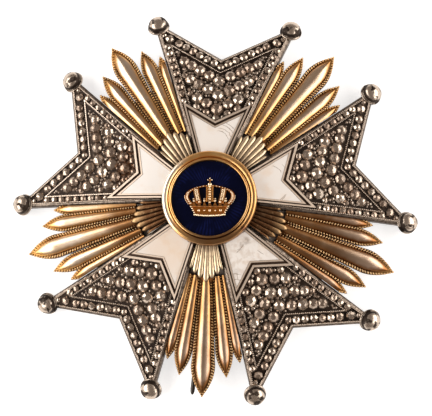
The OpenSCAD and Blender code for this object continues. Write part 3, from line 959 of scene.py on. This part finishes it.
def over_arm_plane(place):
    """Height over the arms' sloping planes, in millimetres, at any place on the star."""
    across = place.along((0, 1, 0))
    for i in range(1, 5):
        a = math.radians(90 - arm_step * i)
        across = across.math("MAXIMUM", place.along((math.cos(a), math.sin(a), 0)))
    return (place.along((0, 0, 1)) - apex_z) * math.cos(arm_slope) + across * math.sin(arm_slope)


tray_silver, tray_place = finish("tray_silver", Metallic=0.6)
tray_height = over_arm_plane(tray_place)
tray_grime = tray_place.noise(1.2, 4)
tray_top = tray_height.between(0.9, 0.985)
lay_on(
    tray_silver,
    Base_Color=tray_top.mix((0.08, 0.045, 0.028, 1), (0.66, 0.53, 0.42, 1)),
    Roughness=0.34 + 0.2 * tray_grime,
    Normal=tray_grime.bump(0.12, 0.03),
)
dress("cross_frame", tray_silver)


def hairline(place, centre, radius, toward, reach):
    """A fine crack: an arc round a centre that fades away from the point it runs towards."""
    width = 0.1
    off = (place.away_from((*centre, 0)) - radius).math("ABSOLUTE")
    fade = place.away_from((*toward, 0)).between(reach * 0.6, reach)
    return (1 - off.between(0, width)) * (1 - fade)


cracks = (
    # centre, radius, the point that the crack runs towards, how far it reaches
    ((0.96, 12.57), 2.66, (2.9, 14.9), 2.2),
    ((0.96, 12.57), 3.4, (3.1, 15.3), 2.4),
    ((0.96, 12.57), 4.15, (3.4, 16.0), 2.2),
    ((0.96, 12.57), 4.8, (3.9, 16.3), 1.8),
    ((13.22, 6.29), 1.9, (14.39, 7.99), 1.6),
    ((13.22, 6.29), 3.1, (15.9, 8.0), 1.2),
    ((20.0, -3.0), 6.3, (15.6, 1.5), 1.3),
    ((20.6, -3.0), 6.5, (15.9, 1.2), 1.0),
    ((15.0, -5.0), 6.3, (11.6, -10.24), 0.9),
    ((4.0, -7.5), 4.1, (7.35, -9.81), 1.3),
    ((5.4, -7.1), 3.3, (7.6, -9.7), 1.1),
    ((6.0, -25.0), 10.0, (6.76, -15.07), 1.1),
    ((6.3, -27.5), 11.2, (6.91, -16.3), 1.0),
    ((10.0, -15.4), 3.1, (6.9, -15.6), 1.0),
)
marks = (
    # place, radius, depth of the dirt
    ((4.13, 16.1), 0.28, 0.9),
    ((0.1, 10.45), 0.4, 0.6),
    ((-0.7, 10.6), 0.25, 0.5),
    ((6.73, -14.64), 0.9, 0.3),
    ((-2.18, -13.47), 0.5, 0.5),
    ((7.4, -9.8), 0.5, 0.35),
    ((8.6, -8.1), 1.2, 0.6),
    ((7.6, -8.9), 0.8, 0.45),
)

warm_enamel, enamel_place = finish(
    "warm_white_enamel", Roughness=0.2, Coat_Weight=0.2, Coat_Roughness=0.08
)
from_above = enamel_place.add(
    "ShaderNodeVectorMath", {"operation": "MULTIPLY"}, {0: enamel_place, 1: (1, 1, 0)}
)
waver = from_above.add("ShaderNodeTexNoise", None, {"Vector": from_above, "Scale": 0.9}, "Color")
wander = waver.add(
    "ShaderNodeVectorMath",
    {"operation": "MULTIPLY_ADD"},
    {0: waver, 1: (0.7, 0.7, 0), 2: from_above},
)
cracked = wander * 0
for centre, radius, toward, reach in cracks:
    cracked = cracked.math("MAXIMUM", hairline(wander, centre, radius, toward, reach))
broken = 0.3 + 0.7 * enamel_place.noise(1.6, 4).between(0.42, 0.58)
for centre, radius, depth in marks:
    spot = (1 - wander.away_from((*centre, 0)).between(radius * 0.3, radius)) * depth
    cracked = cracked.math("MAXIMUM", spot * broken)
# The lower left arm has gone beige and the lower right one grey.
beige = 1 - wander.away_from((-8.2, -11.3, 0)).between(2.0, 8.0)
grey = 1 - wander.away_from((8.4, -11.6, 0)).between(2.0, 7.5)
grey = grey * enamel_place.noise(0.9, 5).between(0.42, 0.62)
yellowed = enamel_place.noise(0.3, 5).between(0.5, 0.75)
# Painted shade: the enamel goes darker where it dips at its edge against the frame.
painted_edge_shade = 1 - (over_arm_plane(enamel_place) + 0.08 * enamel_place.noise(2.0)).between(0.75, 0.9)
soiled = (yellowed * 0.6 + painted_edge_shade * 0.3 + beige * 0.7).mix(
    (0.84, 0.785, 0.735, 1), (0.8, 0.65, 0.52, 1)
)
lay_on(
    warm_enamel,
    Base_Color=(cracked * 0.9).mix(
        (grey * 0.42).mix(soiled, (0.56, 0.44, 0.34, 1)),
        (0.22, 0.15, 0.1, 1),
    ),
    Normal=(enamel_place.noise(0.4, 2) * 2 - cracked).bump(0.1, 0.1),
)
for i in range(5):
    dress(f"white_enamel_{i + 1}", warm_enamel)


# The medallion.
# A turned gilt ring, a broad round moulding and a thin one with a dark groove between them, holds
# a domed disc on the cross's hub. The disc is dark blue enamel over a ground of fine turned rays.
ring_gold, ring_place = finish("ring_gold", Metallic=1.0, Coat_Weight=0.3, Coat_Roughness=0.2)
ring_cloud = ring_place.noise(0.3, 4)
ring_grime = ring_place.noise(1.4, 4)
ring_radius = ring_place.away_from((0, 0, 13.2))
groove = 1 - (ring_radius - 8.69).math("ABSOLUTE").between(0.03, 0.12)
scratch = 1 - ring_place.away_from((7.49, -6.02, 13.3)).between(0.25, 0.75)
# Painted light: the gilt is made darker low down and on the right, as painted shade, and paler on
# the left, as a painted highlight.
painted_shade_low = (ring_place.along((0.3, -1, 0)) + 2 * (ring_cloud - 0.5)).between(4.0, 10.0)
painted_shade_right = ring_place.along((1, 0.2, 0)).between(5.0, 9.0)
painted_highlight_left = ring_place.along((-1, 0.1, 0)).between(5.0, 9.0) * (ring_radius - 8.9).between(0.0, 0.4)
ring_gilt = ring_cloud.between(0.3, 0.7).mix((0.84, 0.42, 0.12, 1), (0.92, 0.58, 0.25, 1))
# The base colour takes the dark groove, the scratch, and the ring's painted shade and painted
# highlight.
lay_on(
    ring_gold,
    Base_Color=(groove * 0.5 + scratch * 0.4 + painted_shade_low * 0.8 + painted_shade_right * 0.42).mix(
        (painted_highlight_left * 0.92).mix(ring_gilt, (0.95, 0.87, 0.72, 1)),
        (0.16, 0.06, 0.02, 1),
    ),
    Roughness=0.24 + 0.12 * ring_grime + 0.2 * groove,
    Normal=(ring_grime + 3 * scratch * ring_place.noise(3.0)).bump(0.08, 0.05),
)
dress("medallion_ring", ring_gold)

night_enamel, disc_place = finish(
    "night_blue_enamel",
    Roughness=0.2,
    Specular_IOR_Level=0.08,
    Coat_Weight=0.08,
    Coat_Roughness=0.05,
)
disc_x = disc_place.along((1, 0, 0))
disc_y = disc_place.along((0, 1, 0))
turned = (disc_y.math("ARCTAN2", disc_x) * 64 + disc_place.noise(0.4) * 6).math("SINE")
sheen = (turned * 0.5 + 0.5) * disc_place.noise(0.35, 3).between(0.4, 0.7)
lay_on(
    night_enamel,
    Base_Color=sheen.mix((0.0006, 0.0014, 0.012, 1), (0.004, 0.007, 0.05, 1)),
    Normal=turned.bump(0.04, 0.03),
)
dress("medallion_enamel", night_enamel)


# The crown.
# A closed crown in gold relief, cast and chased: a band with stones, seven leaves, a middle arch
# between curved ones set with small grains, and an orb and cross on top. It is pinned to the disc.
crown_turn = math.radians(3)
crown_z = 12.88
crown_off = 0.15
arch_outer = ((3.75, -1.5), (5.9, 0.6), (4.9, 2.0), (0.6, 2.6))
arch_inner = ((2.3, -1.3), (2.5, -0.2), (2.9, 1.0), (2.9, 1.95))


def curve_at(bends, u):
    """A point at the share u of a smooth curve with two ends and two bends."""
    a, b, c, d = (Vector(p) for p in bends)
    return a * (1 - u) ** 3 + b * 3 * u * (1 - u) ** 2 + c * 3 * u**2 * (1 - u) + d * u**3


def panel(corners, rise, sunk=0.0):
    """A raised plate with a bevelled edge, and a floor inside it where it is sunk."""
    plate = outline(corners)
    raise_by(rise - 0.09, (0.06, 0.09), *([(0.1, 0), (0.06, -sunk)] if sunk else []))
    return close(plate, 30)


def strip(middle, half, rise, sunk=0.0):
    """A raised band, from points along its middle and its half width, which may change."""
    left, right = [], []
    for k, (p, wide) in enumerate(zip(middle, np.broadcast_to(half, len(middle)))):
        ahead = middle[min(k + 1, len(middle) - 1)] - middle[max(k - 1, 0)]
        across = Vector((-ahead.y, ahead.x)).normalized() * float(wide)
        left.append(p + across)
        right.append(p - across)
    return panel(left + right[::-1], rise, sunk)


def pearls(places):
    """Small round grains soldered on the crown."""
    pearl = start(bpy.ops.mesh.primitive_uv_sphere_add, segments=12, ring_count=8, radius=1)
    places = [stand_at(x, y, z, size=(r, r, r * 0.85)) for x, y, z, r in places]
    return scatter(close(pearl, 40), places)


def bowed(half, y, sag):
    """Points along a line across the crown that hangs a little in its middle."""
    return [Vector((half * x, y - sag * (1 - x * x))) for x in np.linspace(-1, 1, 13)]


def crown_model():
    """Band, leaves, arches, orb and cross, with the grains and stones on them."""
    band = bowed(3.85, -1.8, 0.12) + bowed(3.05, -3.4, 0.22)[::-1]
    middle_arch = [Vector((0, y)) for y in np.linspace(-0.9, 2.45, 5)]
    parts = [
        panel(band, rise=0.6, sunk=0.14),
        strip(bowed(3.15, -3.6, 0.22), half=0.22, rise=0.8),
        strip(bowed(3.95, -1.75, 0.12), half=0.13, rise=0.78),
        strip(middle_arch, half=0.8, rise=0.85, sunk=0.16),
        strip([Vector((0, 3.2)), Vector((0, 4.15))], half=0.13, rise=0.6),
        strip([Vector((-0.4, 3.8)), Vector((0.4, 3.8))], half=0.13, rise=0.6),
    ]
    # Across, up, height over the disc and radius of each grain, stone and orb.
    beads = [(1.15 * k, -2.7, 0.52, 0.2 if k % 2 else 0.3) for k in range(-2, 3)]
    beads += [(0, 2.3 - 0.52 * k, 0.78, 0.23) for k in range(6)]
    beads += [(0, 2.85, 0.5, 0.46), (0, 4.15, 0.5, 0.17)]
    beads += [(p.x, p.y, 0.8, 0.26) for p in bowed(3.15, -3.62, 0.22)]
    for k in range(7):
        x = 1.08 * (k - 3)
        high = 1.25 if k % 2 else 1.5
        leaf = ((-0.42, 0), (-0.2, 0.5), (0, high), (0.2, 0.5), (0.42, 0))
        leaf = [Vector((x * (1 + 0.05 * s) + w, s - 1.68)) for w, s in leaf]
        parts.append(panel(leaf, rise=0.6))
        beads += [(x * 1.05, high - 1.7, 0.5, 0.19), (x * 1.02, high - 2.15, 0.5, 0.26)]
    for side in (-1, 1):
        mirror = Vector((side, 1))
        outer = [curve_at(arch_outer, u / 16) * mirror for u in range(17)]
        inner = [curve_at(arch_inner, u / 12) * mirror for u in range(13)]
        parts.append(strip(outer, half=np.interp(range(17), (7, 12), (0.4, 0.17)), rise=0.5))
        parts.append(strip(inner, half=0.6, rise=0.7, sunk=0.14))
        beads += [(p.x, p.y, 0.48, 0.21) for p in outer[1:9]]
        beads += [(p.x + side * 0.42, p.y - 0.1, 0.3, 0.16) for p in outer[1:7]]
        beads += [(p.x, p.y, 0.48, 0.13) for p in outer[9:]]
        for shift in (-0.2, 0.2):
            beads += [(p.x + shift, p.y, 0.64, 0.16) for p in inner[3:12]]
        beads += [(side * (3.95 - 0.22 * k), -1.85 - 0.42 * k, 0.6, 0.19) for k in range(5)]
        beads.append((side * 0.4, 3.8, 0.5, 0.16))
    parts.append(pearls(beads))
    return mark(weld(parts, "crown_model"), "relief", lambda co: co.z)


crown_gold, crown_place = finish("crown_gold", Metallic=1.0)
crown_relief = crown_place.stored("relief")
crown_grime = crown_place.noise(1.8, 4)
crown_worn = (crown_relief + 0.25 * (crown_grime - 0.5)).between(0.52, 0.85)
crown_body = crown_relief.between(0.05, 0.45).mix((0.04, 0.012, 0.004, 1), (0.56, 0.2, 0.035, 1))
lay_on(
    crown_gold,
    Base_Color=(crown_place.stored("tone") * 1.5).mix(
        crown_worn.mix(crown_body, (0.88, 0.54, 0.22, 1)), (0.98, 0.86, 0.64, 1)
    ),
    Roughness=0.34 - 0.12 * crown_worn,
    Normal=crown_grime.bump(0.2, 0.04),
)
small_crown = crown_model()
set_down(
    small_crown,
    "gold_crown",
    Matrix.Translation((crown_off, 0, crown_z)) @ Matrix.Rotation(crown_turn, 4, "Z"),
    "crown",
    crown_gold,
)
bpy.data.objects.remove(small_crown)


# The back.
# A plain dished silver plate carries everything on rivets. The hinge's cheeks and the open catch
# are soldered to it, and the brooch pin is hard drawn steel wire.
back_silver, back_place = finish("back_silver", Metallic=1.0)
back_cloud = back_place.noise(0.09, 5)
scratches = back_place.noise(0.9, 4, stretch=(0.25, 3.0, 1.0))
lay_on(
    back_silver,
    Base_Color=back_cloud.between(0.35, 0.65).mix((0.33, 0.28, 0.23, 1), (0.55, 0.51, 0.46, 1)),
    Roughness=0.32 + 0.2 * scratches,
    Normal=scratches.bump(0.12, 0.03),
)
dress("back_plate", back_silver)

pin_steel, pin_place = finish("pin_steel", Metallic=1.0)
drawn = pin_place.noise(1.0, 3, stretch=(3.0, 0.2, 3.0))
lay_on(
    pin_steel,
    Base_Color=drawn.between(0.3, 0.7).mix((0.05, 0.045, 0.04, 1), (0.1, 0.09, 0.08, 1)),
    Roughness=0.28 + 0.15 * drawn,
)
dress("brooch_pin", pin_steel)
